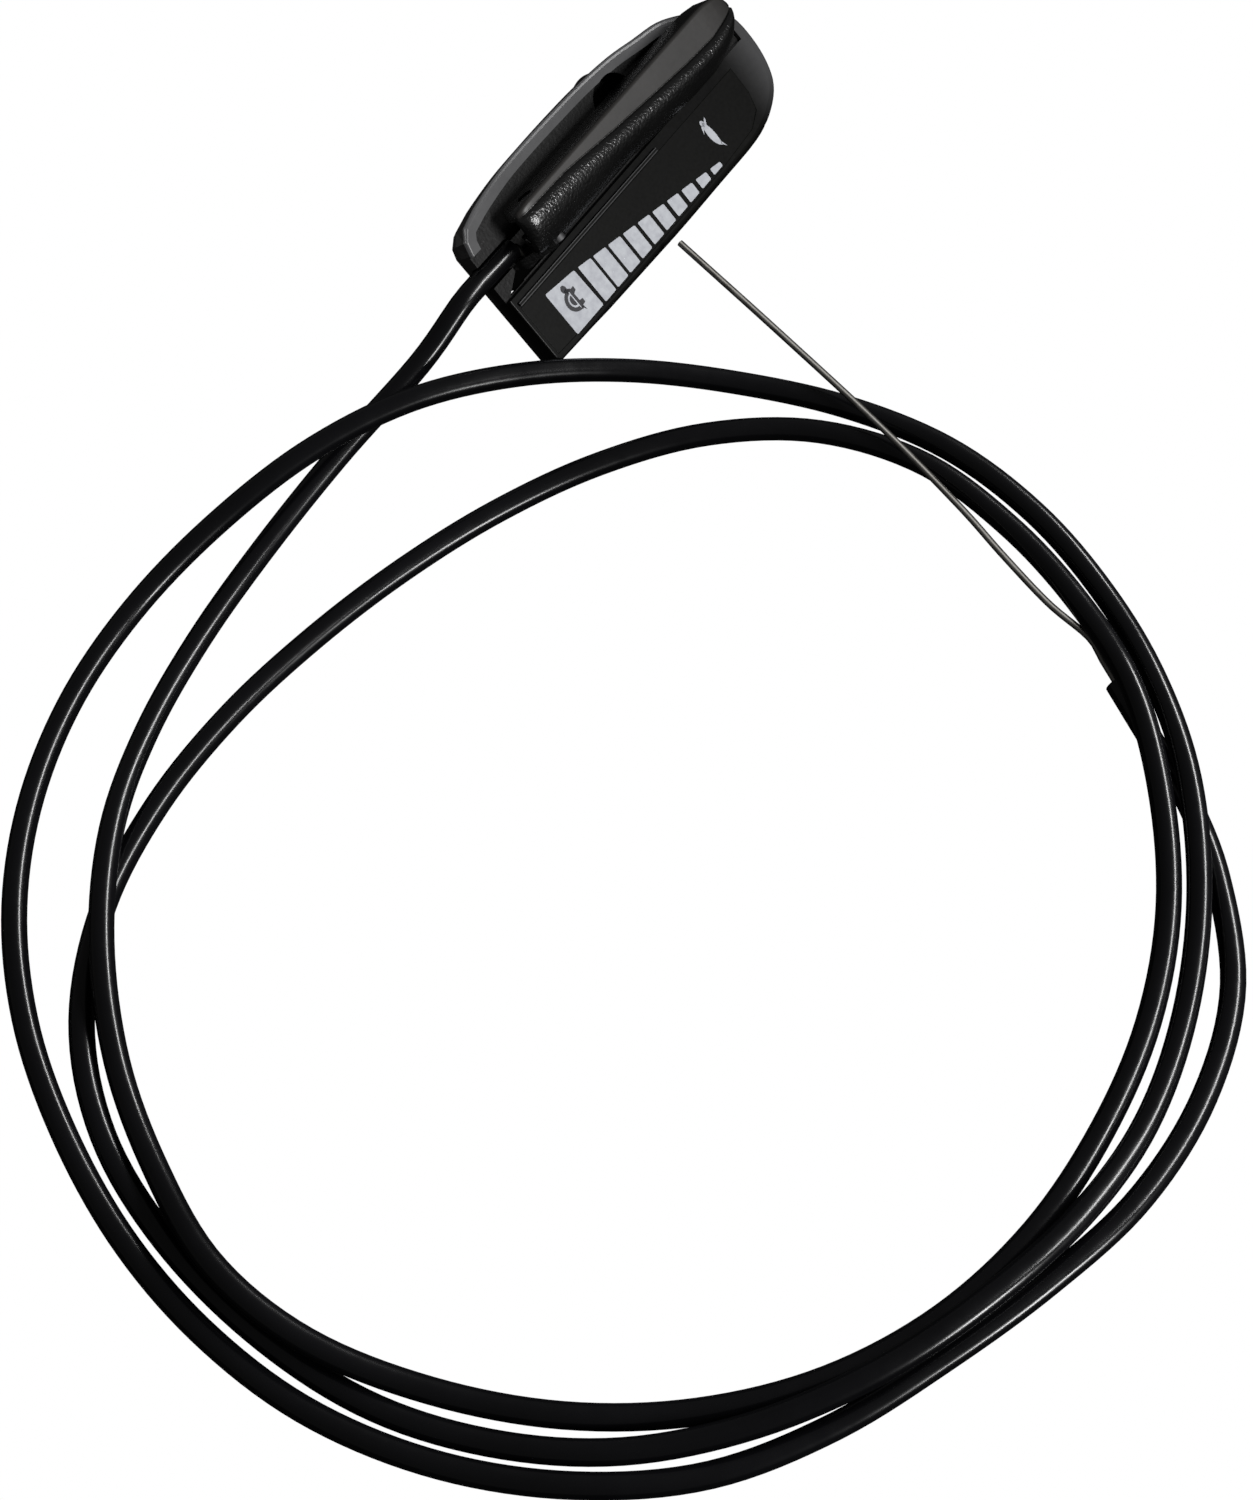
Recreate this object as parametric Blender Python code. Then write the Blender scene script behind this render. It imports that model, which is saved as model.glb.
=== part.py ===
# Throttle cable: a flip lever control with a coiled cable and a bare inner wire.
# The control is written flat in its own frame, in millimetres: x along its length from the
# cable end, y towards its plain flange, z out of its face. It is then tilted as it rests.
import bpy
import bmesh
import math
import numpy as np
from mathutils import Matrix, Vector

mm = 0.001

# The way the control rests on the floor
tiltDeg = 42.0
faceHeight = 17.173
originX = 43.0
originY = 4.5

# Face plate
plateDepth = 6.0
topSkin = 2.4
wall = 2.0
pocketDepth = 1.3
rimWidth = 2.7
blockEdgeY = 1.0
holeX, holeY, holeR = 53.0, 12.6, 6.0
cupWall, cupFloor, cupDepth = 1.4, 1.0, 8.2
ribX0, ribX1 = 1.2, 52.0
ribY0, ribY1, ribTop = -1.2, -0.4, 0.8

# Box under the plate
boxX0, boxX1 = 12.0, 44.5
boxY0, boxY1 = -3.0, 10.0
boxDepth = 20.4
coverThick = 2.0
gap = 0.3

# Lever and pivot
pivotX, pivotZ = 16.2, 5.0
bossR = 4.3
pinR = 1.5
pinClear = 0.3
leverLow, leverTop = 0.8, 9.3
stripDrop, grooveDepth = 0.35, 0.3
slotTop, slotNearTop = 8.15, 6.1
# The handle's sides, groove, top and underside along its length
rightAt = ([11.9, 14, 18, 27, 40, 52.6, 65.6, 74, 79.5, 82.5, 84.5, 86.0],
           [4.4, 3.6, 3.2, 3.3, 3.6, 2.6, 1.9, 1.9, 2.9, 4.4, 6.3, 8.2])
leftAt = ([11.9, 13, 15, 78, 82, 84.5, 86.0], [14.2, 15.0, 15.5, 15.5, 14.8, 13.6, 11.6])
grooveAt = ([12, 25, 41, 54, 67, 76, 86], [13.6, 13.5, 11.5, 10.2, 9.0, 8.6, 9.6])
topAt = ([11.9, 16.2, 30, 78, 84, 86.0], [9.3, 9.3, 9.3, 9.3, 8.6, 6.8])
lowAt = ([11.9, 78, 84, 86.0], [0.7, 0.8, 1.2, 2.6])
armY0, armY1 = 3.1, 5.1
armReach = 11.4
armHalf = 2.9
armRestDeg = 35.0
lugY0, lugY1 = 9.8, 12.2
lugR = 2.8
lugStartDeg = 236.0

# Cable
conduitR = 2.5
boreR = 1.1
wireR = 0.75
cableY, cableZ = 8.0, -2.2
leadX0, leadX1 = -7.0, 9.9
leadBoreX0 = -6.4
hookTailX = -5.8
tailLength = 28.0
tailBore = 26.0
tipInside = 12.0

plateBottom = [(0, -15.5), (1.2, -17.0), (20, -18.2), (45, -19.0), (62, -19.0), (78, -19.0), (84, -17.6),
               (88.8, -13.8), (91.0, -8.4), (91.4, -1.0), (90.4, 5.2), (86.2, 9.6), (79.6, 12.4), (73, 15.6),
               (65.6, 17.0), (57.6, 18.4), (48, 19.4), (38, 19.7), (28, 19.6), (18, 19.4), (8, 18.6), (3, 17.8),
               (0.8, 16.2), (0, 14.0), (0, 0)]
plateTop = [(0, -14.9), (1.0, -16.2), (20, -17.0), (45, -17.4), (62, -17.4), (77, -17.2), (83.8, -15.7),
            (88.6, -12.4), (91.0, -7.4), (91.8, -0.9), (90.9, 5.6), (86.6, 10.6), (80.4, 14.4), (73.6, 17.5),
            (65.9, 19.0), (57.9, 20.5), (48, 21.4), (38, 21.7), (28, 21.8), (18, 21.5), (8.1, 20.2), (3.2, 18.9),
            (1.1, 16.6), (0.3, 13.8), (0, 0)]
# Rounding of the plate's upper edge along its length, and how far its sides swell
edgeAt = ([0, 5, 30, 74, 84, 92], [0.4, 1.0, 1.2, 1.4, 2.4, 2.6])
sideSwell = 0.45

# The cable's route in the part frame, millimetres, from the control to the last straight stretch
route = [
    (-50.3, 2.9, 20.9), (-64.9, 3.9, 14.9), (-90.3, 6.4, 9.8), (-115.2, 7.3, 5.1),
    (-139.0, 5.8, 2.7), (-162.1, 0.5, 3.8), (-183.6, -9.1, 7.5), (-203.2, -22.7, 7.6),
    (-219.7, -39.3, 4.2), (-232.4, -59.2, 5.4), (-241.6, -80.4, 8.6), (-242.8, -102.3, 7.2),
    (-236.8, -125.0, 3.7), (-226.7, -147.0, 2.6), (-212.6, -166.3, 2.6), (-194.7, -182.0, 2.6),
    (-173.5, -192.9, 2.6), (-150.4, -198.4, 2.6), (-126.5, -198.8, 2.6), (-102.8, -195.2, 2.8),
    (-81.0, -186.9, 5.2), (-61.9, -173.9, 8.6), (-44.5, -157.3, 9.4), (-30.9, -137.9, 5.0),
    (-21.6, -115.9, 2.6), (-18.4, -92.5, 2.6), (-24.3, -69.8, 2.6), (-38.4, -50.8, 2.6),
    (-57.6, -36.4, 2.6), (-79.2, -25.8, 2.6), (-102.0, -18.2, 2.6), (-125.4, -13.0, 2.6),
    (-149.2, -10.2, 2.6), (-173.3, -11.0, 2.6), (-196.5, -16.5, 2.6), (-217.1, -28.3, 2.6),
    (-232.3, -46.0, 2.6), (-241.4, -67.9, 2.6), (-245.7, -92.7, 2.6), (-244.9, -117.2, 2.6),
    (-238.0, -139.4, 2.6), (-226.2, -159.4, 3.3), (-209.7, -176.3, 6.0), (-189.8, -189.4, 8.3),
    (-167.5, -198.4, 8.4), (-144.2, -204.0, 6.6), (-120.6, -204.9, 3.3), (-97.3, -200.1, 2.8),
    (-75.6, -190.5, 6.2), (-56.0, -176.7, 9.1), (-39.1, -160.1, 6.8), (-25.3, -141.0, 3.4),
    (-15.9, -119.1, 2.6), (-12.2, -95.5, 2.6), (-15.5, -71.9, 2.7), (-24.5, -49.8, 4.3),
    (-37.7, -30.3, 8.5), (-54.8, -14.6, 14.2), (-74.6, -1.7, 18.1), (-95.6, 8.8, 16.2),
    (-117.5, 16.7, 9.9), (-140.3, 20.5, 4.5), (-163.8, 18.3, 2.6), (-186.4, 10.2, 2.6),
    (-206.5, -2.6, 2.6), (-223.3, -19.7, 2.6), (-236.3, -40.0, 2.6), (-246.1, -62.5, 2.6),
    (-251.4, -85.7, 2.6), (-252.0, -109.4, 2.6), (-246.7, -133.3, 2.6), (-236.1, -155.3, 2.6),
    (-221.0, -174.1, 2.6), (-201.4, -187.6, 2.6), (-179.5, -197.3, 2.6), (-156.7, -205.5, 2.6),
    (-133.5, -211.2, 2.6), (-109.5, -211.2, 2.6), (-86.7, -204.8, 2.6), (-67.7, -190.8, 2.6),
    (-55.9, -177.2, 2.6),
]
tailEnd = ((-55.7, -176.9, 2.6), (-41.3, -152.9, 2.6))
wireRoute = [
    (-33.1, -131.9, 2.9), (-29.1, -118.5, 3.9), (-24.7, -104.9, 5.2), (-18.4, -81.4, 7.2),
    (-11.3, -51.5, 8.6), (-4.5, -21.1, 10.0),
]


def clearScene():
    for item in list(bpy.data.objects):
        bpy.data.objects.remove(item, do_unlink=True)


def makeMaterial(name, color, rough, metal=0.0):
    mat = bpy.data.materials.new(name)
    mat.use_nodes = True
    shader = mat.node_tree.nodes["Principled BSDF"]
    shader.inputs["Base Color"].default_value = (*color, 1.0)
    shader.inputs["Roughness"].default_value = rough
    shader.inputs["Metallic"].default_value = metal
    mat.diffuse_color = (*color, 1.0)
    return mat


def restMatrix():
    turn = Matrix.Rotation(math.radians(tiltDeg), 4, "X")
    move = Matrix.Translation(Vector((-originX, -originY, faceHeight)) * mm)
    return move @ turn @ Matrix.Scale(mm, 4)


def toPart(x, y, z):
    return restMatrix() @ Vector((x, y, z))


def newObject(name, bm):
    bmesh.ops.recalc_face_normals(bm, faces=bm.faces)
    mesh = bpy.data.meshes.new(name)
    bm.to_mesh(mesh)
    bm.free()
    obj = bpy.data.objects.new(name, mesh)
    bpy.context.scene.collection.objects.link(obj)
    return obj


def loft(name, rings):
    # Closed body through rings of points with the same count
    bm = bmesh.new()
    rows = [[bm.verts.new(point) for point in ring] for ring in rings]
    count = len(rows[0])
    for low, high in zip(rows[:-1], rows[1:]):
        for i in range(count):
            k = (i + 1) % count
            bm.faces.new((low[i], low[k], high[k], high[i]))
    bm.faces.new(list(reversed(rows[0])))
    bm.faces.new(rows[-1])
    return newObject(name, bm)


def prism(name, outline, z0, z1):
    return loft(name, [[(x, y, z0) for x, y in outline], [(x, y, z1) for x, y in outline]])


def box(name, x0, x1, y0, y1, z0, z1):
    return prism(name, [(x0, y0), (x1, y0), (x1, y1), (x0, y1)], z0, z1)


def circle(cx, cy, radius, count, start=0.0, sweep=2 * math.pi):
    whole = abs(sweep - 2 * math.pi) < 1e-6
    steps = count if whole else count - 1
    turns = [start + sweep * i / steps for i in range(count)]
    return [(cx + radius * math.cos(t), cy + radius * math.sin(t)) for t in turns]


def rod(name, axis, start, length, radius, count=32):
    # Round bar along x, y or z from its start point
    x, y, z = start
    rings = []
    for step in (0.0, length):
        if axis == "x":
            rings.append([(x + step, y + a, z + b) for a, b in circle(0, 0, radius, count)])
        elif axis == "y":
            rings.append([(x + b, y + step, z + a) for a, b in circle(0, 0, radius, count)])
        else:
            rings.append([(x + a, y + b, z + step) for a, b in circle(0, 0, radius, count)])
    return loft(name, rings)


def combine(target, tool, kind):
    mod = target.modifiers.new(kind.lower(), "BOOLEAN")
    mod.operation = kind
    mod.solver = "EXACT"
    mod.object = tool
    bpy.context.view_layer.update()
    graph = bpy.context.evaluated_depsgraph_get()
    result = bpy.data.meshes.new_from_object(target.evaluated_get(graph))
    target.modifiers.clear()
    old = target.data
    target.data = result
    bpy.data.meshes.remove(old)
    bpy.data.objects.remove(tool, do_unlink=True)


def cut(target, tool):
    combine(target, tool, "DIFFERENCE")


def join(target, tool):
    combine(target, tool, "UNION")


def finish(obj, mat, smooth=None, local=True):
    bm = bmesh.new()
    bm.from_mesh(obj.data)
    bmesh.ops.remove_doubles(bm, verts=bm.verts, dist=0.00005 if not local else 0.002)
    bmesh.ops.dissolve_degenerate(bm, edges=bm.edges, dist=0.0001 if local else 0.0000001)
    bm.to_mesh(obj.data)
    bm.free()
    if local:
        obj.data.transform(restMatrix())
    obj.data.materials.clear()
    obj.data.materials.append(mat)
    if smooth is not None:
        obj.data.shade_smooth()
        obj.data.set_sharp_from_angle(angle=math.radians(smooth))
    return obj


def setOrigin(obj, point):
    # The object's origin goes to its joint's axis; its shape stays where it is
    obj.data.transform(Matrix.Translation(-point))
    obj.location = point


def inset(outline, amount):
    # Moves each corner of a closed outline inwards along its mean normal, by one amount or one each
    amounts = amount if isinstance(amount, list) else [amount] * len(outline)
    points = [Vector(p) for p in outline]
    result = []
    for i, p in enumerate(points):
        a = (p - points[i - 1]).normalized()
        b = (points[(i + 1) % len(points)] - p).normalized()
        normal = Vector((-(a.y + b.y), a.x + b.x))
        result.append(tuple(p + normal.normalized() * amounts[i]))
    return result


def rounded(outline, first=3, last=20, parts=4):
    # The far end of an outline as a smooth curve through its points
    result = list(outline[:first])
    for i in range(first, last):
        a, b, c, d = [Vector(outline[k]) for k in (i - 1, i, i + 1, i + 2)]
        for t in [k / parts for k in range(parts)]:
            spot = 0.5 * (2 * b + (c - a) * t + (2 * a - 5 * b + 4 * c - d) * t ** 2
                          + (3 * b - a - 3 * c + d) * t ** 3)
            result.append(tuple(spot))
    return result + list(outline[last:])


def plateRings(bottom, top):
    # Slightly swollen sides, then a rounded upper edge that is broadest at the far end
    radii = [float(np.interp(x, edgeAt[0], edgeAt[1])) for x, _ in top]
    middle = [((a + c) / 2, (b + d) / 2) for (a, b), (c, d) in zip(bottom, top)]
    middle = inset(middle, -sideSwell)
    rings = [[(x, y, -plateDepth) for x, y in bottom]]
    rings.append([(x, y, -(plateDepth + r) / 2 - 0.4) for (x, y), r in zip(middle, radii)])
    for k in range(5):
        turn = math.pi / 2 * k / 4
        spots = inset(top, [r * (1 - math.cos(turn)) for r in radii])
        rings.append([(x, y, -r * (1 - math.sin(turn))) for (x, y), r in zip(spots, radii)])
    return rings


def makeHousing(mat):
    bottom, top = rounded(plateBottom), rounded(plateTop)
    body = loft("housing", plateRings(bottom, top))
    hollow = prism("t", inset(bottom, wall + 0.6), -plateDepth - 1, -topSkin)
    cut(body, hollow)
    frame = box("t", boxX0, boxX1, boxY0, boxY1, -boxDepth + coverThick + gap, -topSkin + 0.4)
    join(body, frame)
    # A deeper land round the cable notch carries the conduit
    join(body, box("t", 0.5, 6.4, 2.6, 13.2, -plateDepth, -topSkin + 0.4))
    cut(body, box("t", boxX0 + wall, boxX1 - wall, boxY0 + wall, boxY1 - wall, -boxDepth - 1, -topSkin))
    # Recessed floor of the plain flange, inside its raised rim
    ring = inset(top, rimWidth)
    floor = [(x, y) for x, y in ring if y > blockEdgeY + 4.0 and x > 1.5]
    floor = [(-1.0, blockEdgeY), (88.0, blockEdgeY)] + floor + [(2.2, 13.4), (-1.0, 13.4)]
    cut(body, prism("t", floor, -pocketDepth, 2))
    # Shallow seat for the printed strip
    cut(body, prism("t", labelOutline(0.3), -0.5, 2))
    # Lever well, narrow slot beside the lever, corner pocket and cable notch
    cut(body, box("t", 6.6, 25.0, 1.6, 9.5, -12, 2))
    cut(body, box("t", 24.5, 49.0, 1.6, 4.0, -topSkin - 0.5, 2))
    cut(body, prism("t", [(1.8, 1.4), (6.9, 1.4), (6.9, 4.4)], -4.8, 2))
    cut(body, box("t", -1, 10.5, cableY - conduitR - gap, cableY + conduitR + gap, cableZ, 2))
    cut(body, rod("t", "x", (-1, cableY, cableZ), 11.5, conduitR + gap, 40))
    # Round cup for the mounting screw's head, closed below
    join(body, rod("t", "z", (holeX, holeY, -cupDepth), cupDepth - topSkin + 0.3, holeR + cupWall, 56))
    cut(body, rod("t", "z", (holeX, holeY, cupFloor - cupDepth), 12, holeR, 56))
    # Low rib between the printed strip and the lever
    join(body, box("t", ribX0, ribX1, ribY0, ribY1, -topSkin + 0.4, ribTop))
    join(body, makeLug())
    cut(body, rod("t", "y", (pivotX, lugY0 - 1, pivotZ), lugY1 - lugY0 + 2, pinR + pinClear, 32))
    for x, y in coverScrewSpots():
        height = boxDepth - coverThick - gap - topSkin + 0.3
        join(body, rod("t", "z", (x, y, -boxDepth + coverThick + gap), height, 2.4, 28))
        cut(body, rod("t", "z", (x, y, -boxDepth - 1), 8.0, 1.2 + gap, 24))
    return finish(body, mat, 32)


def makeLug():
    # Its near side is cut back, where the wall of the lever's slot swings past
    start = math.radians(lugStartDeg)
    outline = [(pivotX + lugR * math.cos(start), -topSkin + 0.2)]
    outline += circle(pivotX, pivotZ, lugR, 25, start, -start)
    outline += [(pivotX + lugR + 0.8, -topSkin + 0.2)]
    rings = [[(x, y, z) for x, z in outline] for y in (lugY0, lugY1)]
    return loft("t", rings)


def coverScrewSpots():
    midY = (boxY0 + boxY1) / 2
    return [(boxX1 - 4.6, midY + 2.2), (boxX1 - 14.0, midY - 1.9)]


def labelOutline(grow=0.0):
    return [(1.4 - grow, -1.9 + grow), (1.4 - grow, -14.3 - grow), (20, -15.1 - grow), (45, -15.3 - grow),
            (62, -15.2 - grow), (75.5 + grow * 0.5, -14.4 - grow), (79.4 + grow, -12.2 - grow),
            (80.6 + grow, -8.5), (80.6 + grow, -1.9 + grow)]


def makeLabel(mat):
    return finish(prism("scale_label", labelOutline(), -0.2, 0.05), mat)


def makeCover(mat):
    cover = box("bottom_cover", boxX0, boxX1, boxY0, boxY1, -boxDepth, -boxDepth + coverThick)
    for x, y in coverScrewSpots():
        cut(cover, rod("t", "z", (x, y, -boxDepth - 1), 4, 1.2 + gap, 24))
        cut(cover, rod("t", "z", (x, y, -boxDepth - 1), 2.1, 2.2 + gap, 28))
    return finish(cover, mat, 32)


def makeCoverScrew(name, spot, mat):
    x, y = spot
    screw = rod(name, "z", (x, y, -boxDepth + 0.2), 0.7, 2.2, 28)
    join(screw, rod("t", "z", (x, y, -boxDepth + 0.8), 5.4, 1.2, 24))
    cut(screw, box("t", x - 1.6, x + 1.6, y - 0.3, y + 0.3, -boxDepth - 1, -boxDepth + 0.6))
    return finish(screw, mat, 32)


def leverSection(x):
    # Cross-section of the handle: rounded roll on the right, groove, flat strip on the left
    right = float(np.interp(x, rightAt[0], rightAt[1]))
    left = float(np.interp(x, leftAt[0], leftAt[1]))
    groove = float(np.interp(x, grooveAt[0], grooveAt[1]))
    low, top = leverLow, leverTop
    if x < pivotX:
        half = math.sqrt(max(bossR * bossR - (x - pivotX) ** 2, 0.04))
        low, top = pivotZ - half, pivotZ + half
    top = min(top, float(np.interp(x, topAt[0], topAt[1])))
    low = max(low, float(np.interp(x, lowAt[0], lowAt[1])))
    height = top - low
    groove = min(max(groove, right + (left - right) * 0.4), left - (left - right) * 0.12)
    depth = min(grooveDepth, height * 0.08)
    strip = top - min(stripDrop, height * 0.06)
    small = min(0.9, (left - groove) * 0.4, height * 0.2)
    foot = min(1.6, height * 0.25)
    span, rise = groove - right, height * 0.72
    points = []
    for t in np.linspace(0, math.pi / 2, 5):
        points.append((right + foot * (1 - math.sin(t)), low + foot * (1 - math.cos(t))))
    # The roll is half an oval, cut off by the groove on its left
    turn = math.pi - math.asin(min(1.0, (rise - depth - (top - strip)) / rise))
    for t in np.linspace(0, turn, 17):
        across = (1 - math.cos(t)) / (1 - math.cos(turn))
        points.append((right + span * across, top - rise + rise * math.sin(t)))
    points.append((groove + 0.12, strip - depth))
    points.append((groove + 0.45, strip))
    for t in np.linspace(0, math.pi / 2, 5):
        points.append((left - small * (1 - math.sin(t)), strip - small * (1 - math.cos(t))))
    for t in np.linspace(0, math.pi / 2, 4):
        points.append((left - small * 0.6 * (1 - math.cos(t)), low + small * 0.6 * (1 - math.sin(t))))
    return [(x, y, z) for y, z in points]


def makeArm():
    # Slotted arm that hangs from the pivot and carries the wire's hook
    turn = math.radians(armRestDeg)
    flat = [(-armHalf, 0), (-armHalf, -armReach + armHalf)]
    flat += [(a, b) for a, b in circle(0, -armReach + armHalf, armHalf, 13, math.pi, math.pi)]
    flat += [(armHalf, -armReach + armHalf), (armHalf, 0)]
    slot = circle(0, -8.35, 1.5, 11, math.pi, math.pi) + circle(0, -7.55, 1.5, 11, 0, math.pi)
    solids = []
    for outline, y0, y1 in ((flat, armY0, armY1), (slot, armY0 - 1, armY1 + 1)):
        seen = []
        for a, b in outline:
            x = pivotX + a * math.cos(turn) + b * math.sin(turn)
            z = pivotZ - a * math.sin(turn) + b * math.cos(turn)
            if not seen or math.dist(seen[-1], (x, z)) > 0.01:
                seen.append((x, z))
        solids.append(loft("t", [[(x, y, z) for x, z in seen] for y in (y0, y1)]))
    cut(solids[0], solids[1])
    return solids[0]


def makeLever(mat):
    stations = [11.95, 12.3, 13.0, 14.0, 15.2, pivotX, 18, 22, 27, 33, 40, 47, 53, 59, 65.6, 70, 74, 77,
                79.5, 81.5, 83, 84.2, 85.0, 85.6, 86.0]
    lever = loft("lever", [leverSection(x) for x in stations])
    join(lever, makeArm())
    # The lug's slot; its near end is closed above
    cut(lever, box("t", 13.05, 20.4, 8.8, 13.4, -1, slotTop))
    cut(lever, box("t", 10, 13.1, 8.8, 13.4, -1, slotNearTop))
    cut(lever, rod("t", "y", (pivotX, 0, pivotZ), 18, pinR + pinClear, 32))
    finish(lever, mat, 38)
    setOrigin(lever, toPart(pivotX, 9.0, pivotZ))
    return lever


def makePin(mat):
    pin = rod("pivot_pin", "y", (pivotX, 3.4, pivotZ), 11.6, pinR, 32)
    return finish(pin, mat, 32)


def ring(name, axis, center, length, inner, outer, mat, count=32):
    body = rod(name, axis, center, length, outer, count)
    x, y, z = center
    start = {"x": (x - 1, y, z), "y": (x, y - 1, z), "z": (x, y, z - 1)}[axis]
    cut(body, rod("t", axis, start, length + 2, inner, count))
    return finish(body, mat, 32)


def makeLead(mat):
    lead = rod("conduit_lead", "x", (leadX0, cableY, cableZ), leadX1 - leadX0, conduitR, 32)
    cut(lead, rod("t", "x", (leadBoreX0, cableY, cableZ), leadX1 - leadBoreX0 + 1, boreR, 24))
    return finish(lead, mat, 40)


def sweep(name, path, radius, count, mat):
    # Round wire through given points; rings stay square to the path
    points = [Vector(p) for p in path]
    bm = bmesh.new()
    rows = []
    side = None
    for i, p in enumerate(points):
        ahead = points[min(i + 1, len(points) - 1)] - points[max(i - 1, 0)]
        ahead.normalize()
        if side is None:
            side = ahead.orthogonal().normalized()
        side = (side - ahead * side.dot(ahead)).normalized()
        up = ahead.cross(side)
        rows.append([bm.verts.new(p + side * radius * math.cos(2 * math.pi * k / count)
                                  + up * radius * math.sin(2 * math.pi * k / count)) for k in range(count)])
    for low, high in zip(rows[:-1], rows[1:]):
        for k in range(count):
            n = (k + 1) % count
            bm.faces.new((low[k], low[n], high[n], high[k]))
    bm.faces.new(list(reversed(rows[0])))
    bm.faces.new(rows[-1])
    return newObject(name, bm)


def hookPath():
    # Straight inside the conduit's bore, then a square turn through the arm's slot
    hookX = pivotX - (pivotZ - cableZ) * math.tan(math.radians(armRestDeg))
    bend = 1.3
    path = [(x, cableY, cableZ) for x in np.linspace(hookTailX, hookX - bend, 6)]
    for t in np.linspace(0, math.pi / 2, 6)[1:]:
        path.append((hookX - bend + bend * math.sin(t), cableY - bend + bend * math.cos(t), cableZ))
    path += [(hookX, 4.0, cableZ), (hookX, 1.95, cableZ)]
    return path, hookX


def makeHook(mat):
    path, _ = hookPath()
    hook = sweep("inner_wire_hook", path, wireR, 14, mat)
    finish(hook, mat, 50)
    setOrigin(hook, toPart(hookTailX, cableY, cableZ))
    return hook


def makeKeeper(mat):
    _, hookX = hookPath()
    keeper = ring("wire_keeper", "y", (hookX, 2.3, cableZ), 0.5, wireR + gap, 1.9, mat, 20)
    setOrigin(keeper, toPart(hookTailX, cableY, cableZ))
    return keeper


def smoothRoute(points, step):
    # Even points along a smooth curve through the chosen ones
    given = [np.array(p, float) for p in points]
    given = [2 * given[0] - given[1]] + given + [2 * given[-1] - given[-2]]
    fine = []
    for i in range(1, len(given) - 2):
        a, b, c, d = given[i - 1:i + 3]
        for t in np.linspace(0, 1, 24, endpoint=False):
            fine.append(0.5 * (2 * b + (c - a) * t + (2 * a - 5 * b + 4 * c - d) * t ** 2
                               + (3 * b - a - 3 * c + d) * t ** 3))
    fine.append(given[-2])
    fine = np.array(fine)
    along = np.concatenate([[0], np.cumsum(np.linalg.norm(np.diff(fine, axis=0), axis=1))])
    count = int(round(along[-1] / step))
    even = np.linspace(0, along[-1], count + 1)
    return np.array([np.interp(even, along, fine[:, k]) for k in range(3)]).T


def makeConduit(mat):
    curve = bpy.data.curves.new("conduit", "CURVE")
    curve.dimensions = "3D"
    curve.bevel_depth = conduitR * mm
    curve.bevel_resolution = 3
    curve.use_fill_caps = True
    end, ahead = tailFrame()
    first = [route[0], (route[0][0] - 4.0, route[0][1], route[0][2])]
    last = [tuple(end - ahead * (tailLength + gap + 4.0)), tuple(end - ahead * (tailLength + gap))]
    middle = smoothRoute([first[1]] + route[1:-1] + [last[0]], 21.5)
    points = [first[0]] + [tuple(p) for p in middle] + [last[1]]
    line = curve.splines.new("POLY")
    line.points.add(len(points) - 1)
    for spot, p in zip(line.points, points):
        spot.co = (p[0] * mm, p[1] * mm, p[2] * mm, 1.0)
    obj = bpy.data.objects.new("conduit", curve)
    bpy.context.scene.collection.objects.link(obj)
    curve.materials.append(mat)
    return obj


def tailFrame():
    start, end = Vector(tailEnd[0]), Vector(tailEnd[1])
    ahead = (end - start).normalized()
    return end, ahead


def makeTail(mat):
    end, ahead = tailFrame()
    tail = rod("conduit_tail", "x", (-tailLength, 0, 0), tailLength, conduitR, 32)
    cut(tail, rod("t", "x", (-tailBore, 0, 0), tailBore + 1, boreR, 24))
    placeTail(tail, end, ahead)
    return finish(tail, mat, 40, local=False)


def placeTail(obj, end, ahead):
    side = Vector((0, 0, 1)).cross(ahead).normalized()
    up = ahead.cross(side)
    frame = Matrix((ahead, side, up)).transposed().to_4x4()
    place = Matrix.Translation(end * mm) @ frame @ Matrix.Scale(mm, 4)
    obj.data.transform(place)


def makeTip(mat):
    end, ahead = tailFrame()
    inside = [end - ahead * tipInside * (1 - t) for t in (0.0, 0.5)]
    given = inside + [end, end + ahead * 6.0, end + ahead * 12.0] + [Vector(p) for p in wireRoute]
    points = smoothRoute([tuple(p) for p in given], 6.0)
    tip = sweep("inner_wire_tip", [Vector(p) * mm for p in points], wireR * mm, 12, mat)
    finish(tip, mat, 50, local=False)
    setOrigin(tip, end * mm)
    return tip


def build():
    clearScene()
    black = makeMaterial("black_moulding", (0.012, 0.012, 0.013), 0.45)
    grip = makeMaterial("lever_moulding", (0.018, 0.018, 0.02), 0.5)
    jacket = makeMaterial("conduit_jacket", (0.008, 0.008, 0.009), 0.25)
    steel = makeMaterial("wire_steel", (0.55, 0.53, 0.5), 0.3, 1.0)
    zinc = makeMaterial("zinc_steel", (0.5, 0.5, 0.5), 0.35, 1.0)
    film = makeMaterial("printed_film", (0.02, 0.02, 0.022), 0.35)
    makeHousing(black)
    makeCover(black)
    for number, spot in enumerate(coverScrewSpots(), 1):
        makeCoverScrew("cover_screw_%d" % number, spot, zinc)
    makeLabel(film)
    makeLever(grip)
    makePin(zinc)
    ring("spring_washer", "y", (pivotX, 9.0, pivotZ), 0.5, pinR + gap, 2.7, zinc)
    ring("friction_washer", "y", (pivotX, 12.5, pivotZ), 0.6, pinR + gap, 2.7, zinc)
    makeLead(jacket)
    makeConduit(jacket)
    makeTail(jacket)
    makeHook(steel)
    makeKeeper(zinc)
    makeTip(steel)


build()
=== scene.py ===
# Looks for the throttle cable: the flip lever control, its coiled conduit and the bare inner wire.
# Stages: frame, camera, cords, control, print, floor and lights.
import bpy
import bmesh
import math
from mathutils import Matrix, Vector


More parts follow.
